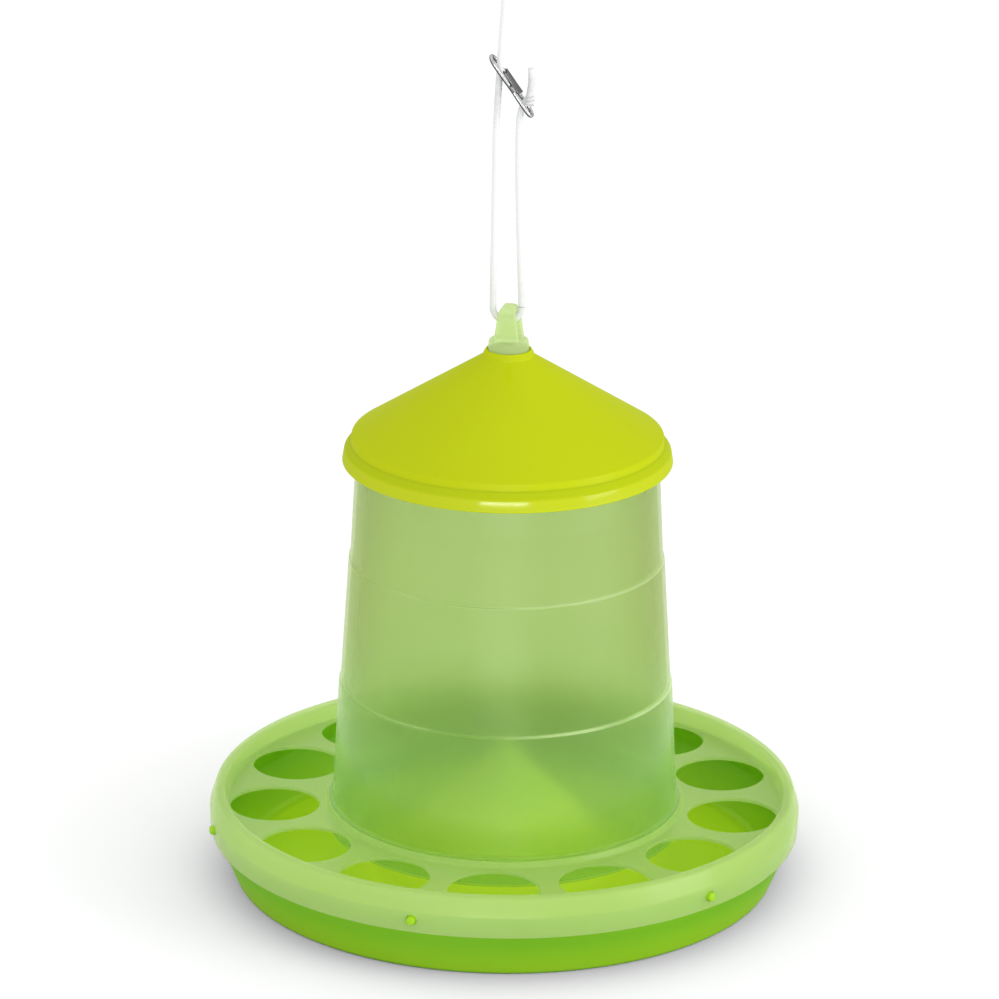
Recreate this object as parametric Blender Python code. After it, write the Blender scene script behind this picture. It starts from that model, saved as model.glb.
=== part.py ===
"""Gravity poultry feeder: tray, feeding ring, hopper, lid, hanger and hanging cord.

Metres, +Z up. The origin is the middle of the tray's underside, -Y is the front.
The hopper stands in the feeding ring, the ring clips over the tray's rim by six lugs,
and the lid slides up the hanger, whose eye carries the doubled cord and its slider.
"""

import math

import bmesh
import bpy
from mathutils import Matrix, Vector

MM = 0.001
GAP = 0.3 * MM  # clearance between pieces that touch

# Tray
TRAY_FOOT_R = 155 * MM
TRAY_KNEE = (166.5 * MM, 27 * MM)
TRAY_RIM = (167.2 * MM, 38 * MM)
TRAY_WALL = 2.4 * MM
CONE_TOP_Z = 80 * MM  # where the feed cone's straight sides would meet
CONE_FOOT_R = 76 * MM
CONE_WALL_Z = 3.2 * MM  # thickness of the cone's wall, measured upright
LUG_COUNT = 6
LUG_TURN = math.radians(-17.5)  # first lug, turned from the front
LUG_Z = 35 * MM
LUG_R = 2.5 * MM
LUG_REACH = 172.4 * MM

# Feeding ring
RING_R = 170 * MM
RING_CREASE_Z = 39.5 * MM
SKIRT_BOTTOM_Z = 27.5 * MM
LIP_TOP_Z = 51 * MM
LIP_R = 163.8 * MM
PLATE_Z = 41 * MM
PLATE_THICK = 2 * MM
COLLAR_R = 100.4 * MM  # the bore that the hopper stands in
COLLAR_TOP_Z = 44.2 * MM
COLLAR_BOTTOM_Z = 31 * MM
HOLE_COUNT = 13
HOLE_R = 25.7 * MM
HOLE_PITCH_R = 132.5 * MM
HOLE_TURN = math.radians(-2.6)  # first hole, turned from the front
WINDOW_R = 3.2 * MM

# Hopper: outside radius and height of each step's ends, from the foot up
HOPPER_WALL = 2 * MM
HOPPER_SIDE = [
    (99.9 * MM, 30 * MM),
    (95.4 * MM, 115.8 * MM),
    (94.6 * MM, 116.8 * MM),
    (89.8 * MM, 190.6 * MM),
    (88.9 * MM, 191.6 * MM),
    (86.9 * MM, 231 * MM),
    (84.7 * MM, 262 * MM),
]
FOOT_BEAD_R = 101.9 * MM
STOP_BEAD_R = 101.2 * MM
BEAD_HEIGHT = 1.6 * MM

# Lid
LID_SIDE = [
    (93.6 * MM, 248 * MM),
    (93.4 * MM, 251.5 * MM),
    (92.6 * MM, 254.2 * MM),
    (91.0 * MM, 256.6 * MM),
    (89.3 * MM, 258.7 * MM),
    (88.6 * MM, 260.4 * MM),
    (88.3 * MM, 262.2 * MM),
    (87.3 * MM, 263.7 * MM),
]
LID_WALL = 2 * MM
LID_NECK = (14.4 * MM, 310 * MM)
LID_NECK_TOP = (12.8 * MM, 313.8 * MM)
LID_HOLE_R = 12 * MM

# Hanger bridge
BOSS_R = 11.5 * MM
BOSS_TOP_Z = 319.6 * MM
BOSS_BOTTOM_Z = 284 * MM
BOSS_CORE_R = 8.8 * MM
BOSS_CORE_DEPTH = 14 * MM  # from the boss's top to the hollow in its underside
ARM_COUNT = 3
ARM_WIDTH = 12 * MM
ARM_ROOT = (9.6 * MM, 295 * MM, 299 * MM)  # radius inside the boss, underside, top
ARM_SHOULDER = (70 * MM, 260.7 * MM)
ARM_TOE_R = 78.5 * MM
TAB = (86.6 * MM, 249.8 * MM, 253.4 * MM)  # reach, underside, top
RIB_WIDTH = 3 * MM
RIB_TOE_R = 72 * MM
SLOT_GAP = 0.4 * MM
EYE_TOP_Z = 340 * MM
EYE_LEG_Y = 9 * MM
EYE_GAP_Y = 4.5 * MM
EYE_BASE_X = 6.9 * MM
EYE_CROWN_X = 4.8 * MM
EYE_TURN = math.radians(-12)

# Cord and slider
CORD_R = 2 * MM
BEND_R = 8 * MM  # of the cord round the eye's crown
BEND_X = -1 * MM
BEND_Z = 338 * MM
CORD_LEFT = [(-9.0, 338), (-9.0, 352), (-8.6, 385), (-8.3, 420), (-7.6, 452), (-2.6, 538)]
CORD_RIGHT = [(7.0, 338.6), (6.4, 356), (5.2, 390), (4.5, 420), (4.6, 441), (5.2, 449.5), (6.2, 454.3)]
CORD_TAIL = [(10.5, 461.0), (11.2, 466), (11.3, 470), (11.1, 476)]
TOP_LOOP = [(-4.5, 551.2), (-10.5, 556.5), (-15.8, 568), (-2.0, 582.5), (11.8, 568), (6.5, 556.5), (0.5, 551.2)]
STOPPER_AT = Vector((10.0 * MM, 0, 457.2 * MM))
STOPPER_R = 3.4 * MM
TOP_KNOT_AT = Vector((-2.2 * MM, 0, 544.2 * MM))
TOP_KNOT_R = 5.6 * MM
LINK_TOP = Vector((-11.7 * MM, 0, 483 * MM))
LINK_BOTTOM = Vector((12.1 * MM, 0, 448 * MM))
LINK_TURN = math.radians(9)  # about its own length, near side down
LINK_WIRE_R = 1.1 * MM
LINK_HALF_WIDTH = 4.2 * MM
SLEEVE_SPAN = (0.43, 0.63)  # of the link's length
EAR_SPAN = (0.27, 0.70)
SLEEVE_SHEET = 0.8 * MM

SEGMENTS = 52  # round pieces: a multiple of four and of the thirteen holes


# ---------------------------------------------------------------- materials


def plastic(name, colour, roughness, alpha=1.0):
    mat = bpy.data.materials.new(name)
    mat.use_nodes = True
    shader = mat.node_tree.nodes["Principled BSDF"]
    shader.inputs["Base Color"].default_value = (*colour, 1)
    shader.inputs["Roughness"].default_value = roughness
    shader.inputs["Alpha"].default_value = alpha
    return mat


def metal(name, colour, roughness):
    mat = plastic(name, colour, roughness)
    mat.node_tree.nodes["Principled BSDF"].inputs["Metallic"].default_value = 1
    return mat


# ---------------------------------------------------------------- building blocks


def arc(r, z, radius, start, end, steps):
    """Points on a circular arc in the (r, z) plane, angles in degrees from +r towards +z."""
    turns = [math.radians(start + (end - start) * i / steps) for i in range(steps + 1)]
    return [(r + radius * math.cos(a), z + radius * math.sin(a)) for a in turns]


def between(points, height):
    """Radius of a side made of straight stretches at that height."""
    for (r0, z0), (r1, z1) in zip(points, points[1:]):
        if z0 <= height <= z1:
            return r0 + (r1 - r0) * (height - z0) / (z1 - z0)
    return points[-1][0]


def from_front(turn, radius, z=0.0):
    """The point at a turn about Z from the front, -Y, towards +X."""
    return Vector((radius * math.sin(turn), -radius * math.cos(turn), z))


def put(name, bm, material, sharp=30):
    """Turns a bmesh into an object with outward faces, smooth up to the sharp angle."""
    bmesh.ops.recalc_face_normals(bm, faces=bm.faces)
    mesh = bpy.data.meshes.new(name)
    bm.to_mesh(mesh)
    bm.free()
    mesh.shade_smooth()
    mesh.set_sharp_from_angle(angle=math.radians(sharp))
    obj = bpy.data.objects.new(name, mesh)
    bpy.context.collection.objects.link(obj)
    if material:
        mesh.materials.append(material)
    return obj


def turned(name, outline, material=None, segments=SEGMENTS):
    """A closed (r, z) outline spun about the Z axis."""
    bm = bmesh.new()
    verts = [bm.verts.new((r, 0, z)) for r, z in outline]
    edges = [bm.edges.new((verts[i - 1], verts[i])) for i in range(len(verts))]
    bmesh.ops.spin(
        bm, geom=verts + edges, axis=(0, 0, 1), angle=math.tau, steps=segments, use_merge=True
    )
    bmesh.ops.remove_doubles(bm, verts=bm.verts, dist=0.001 * MM)
    return put(name, bm, material)


def prism(name, outline, depth, place=Matrix(), material=None):
    """A closed (x, z) outline extruded along Y, from -depth/2 to depth/2."""
    bm = bmesh.new()
    face = bm.faces.new([bm.verts.new((x, -depth / 2, z)) for x, z in outline])
    made = bmesh.ops.extrude_face_region(bm, geom=[face])["geom"]
    moved = [v for v in made if isinstance(v, bmesh.types.BMVert)]
    bmesh.ops.translate(bm, verts=moved, vec=(0, depth, 0))
    bmesh.ops.transform(bm, matrix=place, verts=bm.verts)
    return put(name, bm, material)


def rods(name, places, radius, length, sides):
    """Cylinders about each place's own Z axis, as one cutter mesh."""
    bm = bmesh.new()
    for place in places:
        bmesh.ops.create_cone(
            bm, cap_ends=True, segments=sides, radius1=radius, radius2=radius, depth=length, matrix=place
        )
    return put(name, bm, None)


def combine(target, tool, operation):
    """A Boolean with a helper piece, which is then hidden."""
    step = target.modifiers.new(tool.name, "BOOLEAN")
    step.operation = operation
    step.object = tool
    step.solver = "EXACT"
    tool.hide_render = True
    tool.display_type = "WIRE"


def smooth_route(points, spacing):
    """Evenly spaced points on a Catmull-Rom curve through the given ones."""
    ends = [2 * points[0] - points[1], *points, 2 * points[-1] - points[-2]]
    fine = []
    for a, b, c, d in zip(ends, ends[1:], ends[2:], ends[3:]):
        for i in range(24):
            t = i / 24
            bend = (c - a) * t + (2 * a - 5 * b + 4 * c - d) * t**2 + (3 * b - a - 3 * c + d) * t**3
            fine.append(b + bend / 2)
    fine.append(points[-1])
    length = sum((q - p).length for p, q in zip(fine, fine[1:]))
    count = max(2, round(length / spacing))
    route = [fine[0]]
    gone = 0.0
    for p, q in zip(fine, fine[1:]):
        step = (q - p).length
        while len(route) < count and gone + step >= length * len(route) / count:
            route.append(p.lerp(q, (length * len(route) / count - gone) / step))
        gone += step
    return [*route, fine[-1]]


def tube(name, points, radius, material, closed=False, sides=2):
    """A round tube along the points."""
    curve = bpy.data.curves.new(name, "CURVE")
    curve.dimensions = "3D"
    curve.bevel_depth = radius
    curve.bevel_resolution = sides
    curve.use_fill_caps = not closed
    spline = curve.splines.new("POLY")
    spline.points.add(len(points) - 1)
    for point, place in zip(spline.points, points):
        point.co = (*place, 1)
    spline.use_cyclic_u = closed
    curve.materials.append(material)
    obj = bpy.data.objects.new(name, curve)
    bpy.context.collection.objects.link(obj)
    return obj


def in_front_plane(points):
    return [Vector((x * MM, 0, z * MM)) for x, z in points]


# ---------------------------------------------------------------- pieces


def make_tray(material):
    """A dish with a hollow feed cone in its middle."""
    slope = CONE_FOOT_R / (CONE_TOP_Z - TRAY_WALL)

    def cone(z, top):
        return ((top - z) * slope, z)

    under = CONE_TOP_Z - CONE_WALL_Z
    knee_r, knee_z = TRAY_KNEE
    rim_r, rim_z = TRAY_RIM
    tip = 4.5 * MM
    outline = [
        (0, CONE_TOP_Z - 0.4 * tip),
        (0.5 * tip, CONE_TOP_Z - 0.62 * tip),
        cone(CONE_TOP_Z - tip, CONE_TOP_Z),
        cone(TRAY_WALL + 4.5 * MM, CONE_TOP_Z),
        (CONE_FOOT_R - 0.6 * MM, TRAY_WALL + 1.6 * MM),
        (CONE_FOOT_R + 4 * MM, TRAY_WALL),
        (TRAY_FOOT_R - 5 * MM, TRAY_WALL),
        (TRAY_FOOT_R - 1.2 * MM, TRAY_WALL + 2.2 * MM),
        (knee_r - TRAY_WALL, knee_z),
        (rim_r - TRAY_WALL, rim_z - 0.8 * MM),
        (rim_r - 0.5 * TRAY_WALL, rim_z),
        (rim_r, rim_z - 0.8 * MM),
        (knee_r, knee_z),
        (TRAY_FOOT_R + 0.7 * MM, 1.6 * MM),
        (TRAY_FOOT_R - 1.0 * MM, 0),
        cone(0, under),
        cone(under - 2 * MM, under),
        (0, under - 1.4 * MM),
    ]
    return turned("tray", outline, material)


def make_lugs(material):
    """Round-nosed lugs on the tray's rim, which spring into the ring's windows."""
    base = TRAY_RIM[0] + GAP
    reach = LUG_REACH - base
    nose = 0.8 * LUG_R
    outline = [(0, 0), (LUG_R, 0), *arc(LUG_R - nose, reach - nose, nose, 0, 90, 3), (0, reach)]
    for i in range(LUG_COUNT):
        turn = LUG_TURN + math.tau * i / LUG_COUNT
        lug = turned(f"tray_lug_{i + 1}", outline, material, segments=12)
        lug.matrix_world = (
            Matrix.Translation(from_front(turn, base, LUG_Z))
            @ Matrix.Rotation(turn, 4, "Z")
            @ Matrix.Rotation(math.radians(90), 4, "X")
        )


def make_ring(material):
    """A plate of round feeding holes with a raised lip, a skirt and a collar for the hopper."""
    wall = PLATE_THICK
    under = PLATE_Z - wall
    crest = LIP_TOP_Z - 2.6 * MM
    outline = [
        (RING_R - 0.5 * MM, SKIRT_BOTTOM_Z),
        (RING_R, RING_CREASE_Z),
        (RING_R - 3.1 * MM, RING_CREASE_Z + 8 * MM),
        *arc(LIP_R, crest, 2.6 * MM, 20, 160, 5),
        (LIP_R - 4.2 * MM, PLATE_Z + 1.6 * MM),
        (LIP_R - 5.2 * MM, PLATE_Z),
        (COLLAR_R + 5.6 * MM, PLATE_Z),
        (COLLAR_R + 2.6 * MM, PLATE_Z + 1.3 * MM),
        (COLLAR_R + 1.4 * MM, COLLAR_TOP_Z),
        (COLLAR_R, COLLAR_TOP_Z),
        (COLLAR_R, COLLAR_BOTTOM_Z),
        (COLLAR_R + wall, COLLAR_BOTTOM_Z),
        (COLLAR_R + wall, under),
        (LIP_R - 2.8 * MM, under),
        (LIP_R - 1.2 * MM, crest - 0.4 * MM),
        (LIP_R, crest + 0.6 * MM),
        (LIP_R + 1.2 * MM, crest - 0.4 * MM),
        (RING_R - wall, RING_CREASE_Z - 0.6 * MM),
        (RING_R - wall - 0.4 * MM, SKIRT_BOTTOM_Z),
    ]
    ring = turned("feeding_ring", outline, material)
    holes = [
        Matrix.Translation(from_front(HOLE_TURN + math.tau * i / HOLE_COUNT, HOLE_PITCH_R, PLATE_Z))
        for i in range(HOLE_COUNT)
    ]
    combine(ring, rods("cut_feeding_holes", holes, HOLE_R, 8 * MM, 28), "DIFFERENCE")
    windows = []
    for i in range(LUG_COUNT):
        turn = LUG_TURN + math.tau * i / LUG_COUNT
        windows.append(
            Matrix.Translation(from_front(turn, RING_R, LUG_Z))
            @ Matrix.Rotation(turn, 4, "Z")
            @ Matrix.Rotation(math.radians(90), 4, "X")
        )
    combine(ring, rods("cut_lug_windows", windows, WINDOW_R, 7 * MM, 12), "DIFFERENCE")
    return ring


def make_hopper(material):
    """A tall shell in three steps, wider below, with two beads that hold the ring's collar."""

    def at(z):
        return between(HOPPER_SIDE, z)

    foot_z = HOPPER_SIDE[0][1]
    stop_z = COLLAR_TOP_Z + GAP
    catch_z = COLLAR_BOTTOM_Z - GAP
    bottom_z = catch_z - BEAD_HEIGHT
    outline = [
        (HOPPER_SIDE[0][0] - HOPPER_WALL, bottom_z),
        (FOOT_BEAD_R - 0.5 * MM, bottom_z),
        (FOOT_BEAD_R, bottom_z + 0.5 * MM),
        (FOOT_BEAD_R, catch_z),
        (at(catch_z), catch_z),
        (at(stop_z), stop_z),
        (STOP_BEAD_R, stop_z),
        (STOP_BEAD_R, stop_z + 0.5 * BEAD_HEIGHT),
        (at(stop_z + BEAD_HEIGHT), stop_z + BEAD_HEIGHT),
        *HOPPER_SIDE[1:],
        (HOPPER_SIDE[-1][0] - HOPPER_WALL, HOPPER_SIDE[-1][1]),
        *[(r - HOPPER_WALL, z) for r, z in reversed(HOPPER_SIDE[1:-1])],
        (HOPPER_SIDE[0][0] - HOPPER_WALL, foot_z + 2 * MM),
    ]
    hopper = turned("hopper", outline, material)
    reach, low, high = TAB
    inner, outer = reach - 3 * HOPPER_WALL, reach + 2 * HOPPER_WALL
    slot = [
        (inner, low - SLOT_GAP),
        (outer, low - SLOT_GAP),
        (outer, high + SLOT_GAP),
        (inner, high + SLOT_GAP),
    ]
    for i in range(ARM_COUNT):
        cutter = prism(f"cut_tab_slot_{i + 1}", slot, ARM_WIDTH + 2 * SLOT_GAP, arm_turn(i))
        combine(hopper, cutter, "DIFFERENCE")
    return hopper


def arm_turn(i):
    """The first arm points to the back."""
    return Matrix.Rotation(math.radians(90) + math.tau * i / ARM_COUNT, 4, "Z")


def make_lid(material):
    """A shallow cone with a stepped, rounded rim and a neck round the hanger."""
    start_r, start_z = LID_SIDE[-1]
    neck_r, neck_z = LID_NECK
    fall = (neck_z - start_z) / (start_r - neck_r)
    drop = LID_WALL * math.hypot(1, fall)

    def inside(r):
        return (r, start_z + (start_r - r) * fall - drop)

    outline = [
        *LID_SIDE,
        LID_NECK,
        (neck_r, neck_z + 1.2 * MM),
        LID_NECK_TOP,
        (LID_HOLE_R, LID_NECK_TOP[1]),
        inside(LID_HOLE_R),
        inside(start_r - 1.2 * LID_WALL),
        *[(r - LID_WALL, z - 0.25 * LID_WALL) for r, z in reversed(LID_SIDE[1:-2])],
        (LID_SIDE[0][0] - LID_WALL, LID_SIDE[0][1]),
    ]
    return turned("lid", outline, material)


def make_hanger(material):
    """The boss and eye above the lid, on three arms that hook through the hopper's wall."""
    core_top = BOSS_TOP_Z - BOSS_CORE_DEPTH
    boss = [
        (0, BOSS_TOP_Z),
        (BOSS_R - 1.3 * MM, BOSS_TOP_Z),
        (BOSS_R, BOSS_TOP_Z - 1.4 * MM),
        (BOSS_R, BOSS_BOTTOM_Z),
        (BOSS_CORE_R, BOSS_BOTTOM_Z),
        (BOSS_CORE_R, core_top - 2 * MM),
        (0, core_top),
    ]
    hanger = turned("hanger_bridge", boss, material, segments=28)
    reach, low, high = TAB
    root_r, root_low, root_high = ARM_ROOT
    bend_r, bend_z = ARM_SHOULDER
    strap = [
        (root_r, root_high),
        ARM_SHOULDER,
        (ARM_TOE_R, high),
        (reach, high),
        (reach, low),
        (ARM_TOE_R - 1.5 * MM, low),
        (bend_r - 1.4 * MM, bend_z - 3.1 * MM),
        (root_r, root_low),
    ]
    rib = [
        (root_r, (root_low + root_high) / 2),
        (bend_r - 0.7 * MM, bend_z - 1.5 * MM),
        (ARM_TOE_R - 2 * MM, (low + high) / 2),
        (RIB_TOE_R, low + 0.6 * MM),
        (root_r, BOSS_BOTTOM_Z + 2 * MM),
    ]
    for i in range(ARM_COUNT):
        combine(hanger, prism(f"add_arm_{i + 1}", strap, ARM_WIDTH, arm_turn(i)), "UNION")
        combine(hanger, prism(f"add_rib_{i + 1}", rib, RIB_WIDTH, arm_turn(i)), "UNION")

    crown = EYE_TOP_Z - EYE_CROWN_X
    base = BOSS_TOP_Z - 3 * MM
    front = [
        (-EYE_BASE_X, base),
        (EYE_BASE_X, base),
        (EYE_BASE_X, BOSS_TOP_Z + 1 * MM),
        *arc(0, crown, EYE_CROWN_X, 0, 180, 8),
        (-EYE_BASE_X, BOSS_TOP_Z + 1 * MM),
    ]
    side = [(-EYE_LEG_Y, base), (EYE_LEG_Y, base), *arc(0, EYE_TOP_Z - EYE_LEG_Y, EYE_LEG_Y, 0, 180, 12)]
    turn = Matrix.Rotation(EYE_TURN, 4, "Z")
    quarter = Matrix.Rotation(math.radians(90), 4, "Z")
    eye = prism("add_eye", front, 3 * EYE_LEG_Y, turn)
    combine(eye, prism("trim_eye", side, 3 * EYE_LEG_Y, turn @ quarter), "INTERSECT")
    combine(hanger, eye, "UNION")

    under_crown = BEND_R - CORD_R - GAP
    past = 3 * EYE_BASE_X
    opening = [
        (-past, BOSS_TOP_Z + 0.4 * MM),
        (past, BOSS_TOP_Z + 0.4 * MM),
        (past, BEND_Z),
        *arc(BEND_X, BEND_Z, under_crown, 0, -180, 10),
        (-past, BEND_Z),
    ]
    combine(hanger, prism("cut_eye", opening, 2 * EYE_GAP_Y, turn), "DIFFERENCE")
    return hanger


def make_cords(material):
    """The doubled cord: its standing side runs on to the top loop, the other to the stopper knot."""
    spacing = 4 * CORD_R
    bend = [Vector((x, 0, z)) for x, z in arc(BEND_X, BEND_Z, BEND_R, 0, -180, 16)]
    left = smooth_route(in_front_plane(CORD_LEFT), spacing)
    tube("cord_left", [*bend, *left[1:]], CORD_R, material)
    tube("cord_right", smooth_route(in_front_plane(CORD_RIGHT), spacing), CORD_R, material)
    tube("cord_tail", smooth_route(in_front_plane(CORD_TAIL), spacing), CORD_R, material)
    tube("cord_top_loop", smooth_route(in_front_plane(TOP_LOOP), spacing), CORD_R, material)
    make_knot("stopper_knot", STOPPER_AT, STOPPER_R, 1.0, material)
    make_knot("top_knot", TOP_KNOT_AT, TOP_KNOT_R, 0.95, material)


def make_knot(name, centre, radius, height, material):
    bm = bmesh.new()
    bmesh.ops.create_uvsphere(bm, u_segments=12, v_segments=7, radius=radius)
    bmesh.ops.scale(bm, vec=(1, 1, height), verts=bm.verts)
    bmesh.ops.translate(bm, vec=centre, verts=bm.verts)
    return put(name, bm, material, sharp=60)


def make_slider(wire_material, sheet_material):
    """A closed wire link with an eye for each side of the cord, held by a folded sheet sleeve."""
    along = LINK_BOTTOM - LINK_TOP
    length = along.length
    frame = Matrix.Identity(3)
    frame.col[0] = along.normalized()
    frame.col[1] = Vector((0, 1, 0))
    frame.col[2] = frame.col[0].cross(frame.col[1])
    place = Matrix.Translation(LINK_TOP) @ frame.to_4x4() @ Matrix.Rotation(LINK_TURN, 4, "X")

    bend = LINK_HALF_WIDTH
    straight = length - LINK_WIRE_R - bend
    ends = arc(straight, 0, bend, -90, 90, 8) + arc(LINK_WIRE_R + bend, 0, bend, 90, 270, 8)
    loop = [place @ Vector((t, w, 0)) for t, w in ends]
    tube("adjuster_wire", loop, LINK_WIRE_R, wire_material, closed=True)

    # Across the link the sheet is a channel over both wires, open below.
    inner = LINK_WIRE_R + GAP
    outer = inner + SLEEVE_SHEET
    half = LINK_HALF_WIDTH + inner
    edge = half + SLEEVE_SHEET
    channel = [
        (-edge, 0.4 * LINK_WIRE_R),
        (-half, 0.4 * LINK_WIRE_R),
        (-half, inner),
        (half, inner),
        (half, -LINK_WIRE_R),
        (edge, -LINK_WIRE_R),
        (edge, outer),
        (-edge, outer),
    ]
    across = Matrix(((0, 1, 0, 0), (1, 0, 0, 0), (0, 0, 1, 0), (0, 0, 0, 1)))
    sleeve = prism("adjuster_sleeve", channel, 2 * length, place @ across, sheet_material)

    # In plan it is short, with a pointed ear along the far wire at each end.
    low, high = (length * s for s in SLEEVE_SPAN)
    ear_low, ear_high = (length * s for s in EAR_SPAN)
    past = 1.5 * edge
    shoulder = half - 2 * LINK_WIRE_R
    plan = [(low, -past), (high, -past), (high, shoulder), (ear_high, past), (ear_low, past), (low, shoulder)]
    flat = Matrix(((1, 0, 0, 0), (0, 0, 1, 0), (0, 1, 0, 0), (0, 0, 0, 1)))
    combine(sleeve, prism("trim_sleeve", plan, 4 * edge, place @ flat), "INTERSECT")


def main():
    for obj in list(bpy.data.objects):
        bpy.data.objects.remove(obj, do_unlink=True)
    tray_green = plastic("tray_green", (0.165, 0.46, 0.012), 0.38)
    pale_green = plastic("pale_green", (0.36, 0.66, 0.20), 0.32, alpha=0.62)
    lid_lime = plastic("lid_lime", (0.56, 0.68, 0.0), 0.35)
    white_cord = plastic("white_cord", (0.86, 0.87, 0.86), 0.9)
    link_steel = metal("link_steel", (0.62, 0.62, 0.63), 0.28)
    sheet_steel = metal("sheet_steel", (0.5, 0.5, 0.5), 0.4)
    make_tray(tray_green)
    make_lugs(tray_green)
    make_ring(pale_green)
    make_hopper(pale_green)
    make_lid(lid_lime)
    make_hanger(pale_green)
    make_cords(white_cord)
    make_slider(link_steel, sheet_steel)


main()
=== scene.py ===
"""Looks of the gravity poultry feeder: fine meshes, procedural materials and a plain studio.

Metres, +Z up, the feeder's front is -Y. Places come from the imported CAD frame.
"""

import math

import bmesh
import bpy
import numpy as np
from mathutils import Matrix, Vector


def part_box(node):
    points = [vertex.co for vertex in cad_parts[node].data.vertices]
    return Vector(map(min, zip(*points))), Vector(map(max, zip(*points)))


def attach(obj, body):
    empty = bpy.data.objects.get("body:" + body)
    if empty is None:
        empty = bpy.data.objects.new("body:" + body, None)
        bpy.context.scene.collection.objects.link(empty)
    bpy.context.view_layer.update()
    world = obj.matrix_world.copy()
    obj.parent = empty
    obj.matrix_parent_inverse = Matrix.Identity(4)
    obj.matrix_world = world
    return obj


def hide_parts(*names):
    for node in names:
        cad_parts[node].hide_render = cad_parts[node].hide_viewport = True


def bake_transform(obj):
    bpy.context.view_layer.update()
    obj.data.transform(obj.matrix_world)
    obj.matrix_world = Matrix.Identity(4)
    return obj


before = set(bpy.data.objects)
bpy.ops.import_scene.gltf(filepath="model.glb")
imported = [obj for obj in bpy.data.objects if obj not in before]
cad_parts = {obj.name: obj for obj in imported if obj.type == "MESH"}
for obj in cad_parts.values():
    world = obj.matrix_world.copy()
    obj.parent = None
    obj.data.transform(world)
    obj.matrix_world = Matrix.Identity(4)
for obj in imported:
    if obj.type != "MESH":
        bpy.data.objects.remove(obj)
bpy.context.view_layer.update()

MM = 0.001

# ---------------------------------------------------------------- camera, as the photograph was taken

CAMERA_AT = (-0.0044, -2.8601, 1.2175)
CAMERA_DOWN = math.radians(19.157)
CAMERA_ROLL = math.radians(0.519)
CAMERA_LENS = 192.54
SENSOR = 36


def make_camera():
    data = bpy.data.cameras.new("camera")
    data.lens = CAMERA_LENS
    data.sensor_width = SENSOR
    camera = bpy.data.objects.new("camera", data)
    bpy.context.scene.collection.objects.link(camera)
    tilt = Matrix.Rotation(math.pi / 2 - CAMERA_DOWN, 4, "X")
    roll = Matrix.Rotation(CAMERA_ROLL, 4, "Z")
    camera.matrix_world = Matrix.Translation(CAMERA_AT) @ tilt @ roll
    bpy.context.scene.camera = camera


make_camera()

# ---------------------------------------------------------------- mesh tools

MERGE_WITHIN = 0.002 * MM
ROUTE_STEPS = 40


def scaled(points):
    """Points or corners given in mm, in metres."""
    return [tuple(value * MM for value in point) for point in points]


def new_object(name, verts, faces, material, sharp=None):
    mesh = bpy.data.meshes.new(name)
    mesh.from_pydata([tuple(v) for v in verts], [], faces)
    mesh.update()
    bm = bmesh.new()
    bm.from_mesh(mesh)
    bmesh.ops.remove_doubles(bm, verts=bm.verts, dist=MERGE_WITHIN)
    bmesh.ops.recalc_face_normals(bm, faces=bm.faces)
    bm.to_mesh(mesh)
    bm.free()
    obj = bpy.data.objects.new(name, mesh)
    bpy.context.scene.collection.objects.link(obj)
    shade(obj, sharp)
    if material:
        mesh.materials.append(material)
    return obj


def shade(obj, sharp=None):
    """Smooth shading, with edges sharper than the given degrees left crisp."""
    obj.data.shade_smooth()
    if sharp:
        obj.data.set_sharp_from_angle(angle=math.radians(sharp))


def rounded(corners, closed=True, steps=5):
    """The (r, z) outline through corners (r, z, radius), each corner rounded to its radius."""
    points = []
    count = len(corners)
    for i, (r, z, radius) in enumerate(corners):
        here = Vector((r, z))
        at_end = not closed and i in (0, count - 1)
        if radius <= 0 or at_end:
            points.append(here)
            continue
        before = Vector(corners[i - 1][:2]) - here
        after = Vector(corners[(i + 1) % count][:2]) - here
        turn = math.pi - before.angle(after)
        nearly_straight = 0.01
        if turn < nearly_straight:
            points.append(here)
            continue
        reach = radius * math.tan(turn / 2)
        reach = min(reach, 0.49 * before.length, 0.49 * after.length)
        radius = reach / math.tan(turn / 2)
        inward = (before.normalized() + after.normalized()).normalized()
        middle = here + inward * (radius / math.cos(turn / 2))
        start = here + before.normalized() * reach - middle
        end = here + after.normalized() * reach - middle
        sweep = start.angle_signed(end)
        for k in range(steps + 1):
            # angle_signed counts clockwise, and a rotation counts the other way
            points.append(middle + Matrix.Rotation(-sweep * k / steps, 2) @ start)
    return [(p.x, p.y) for p in points]


def turned(outline, segments, start=0.0):
    """Points of an (r, z) outline turned once about Z, with the first row again at the end."""
    points = []
    for k in range(segments + 1):
        a = start + math.tau * k / segments
        points += [(r * math.cos(a), r * math.sin(a), z) for r, z in outline]
    return points


def sheet(rows, columns, wrap):
    """Faces of a grid of points. wrap joins the last point of each row to its first."""
    faces = []
    for k in range(rows - 1):
        for i in range(columns if wrap else columns - 1):
            j = (i + 1) % columns
            below, above = k * columns, (k + 1) * columns
            faces.append((below + i, above + i, above + j, below + j))
    return faces


def spun(name, outline, material, segments, sharp=35):
    faces = sheet(segments + 1, len(outline), wrap=True)
    return new_object(name, turned(outline, segments), faces, material, sharp)


def prism(name, outline, depth, place=Matrix(), material=None):
    """A closed (x, z) outline extruded along Y, from -depth/2 to depth/2."""
    n = len(outline)
    verts = [place @ Vector((x, s * depth / 2, z)) for s in (-1, 1) for x, z in outline]
    faces = [tuple(range(n)), tuple(reversed(range(n, 2 * n)))]
    faces += [(i, i + n, (i + 1) % n + n, (i + 1) % n) for i in range(n)]
    return new_object(name, verts, faces, material)


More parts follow.
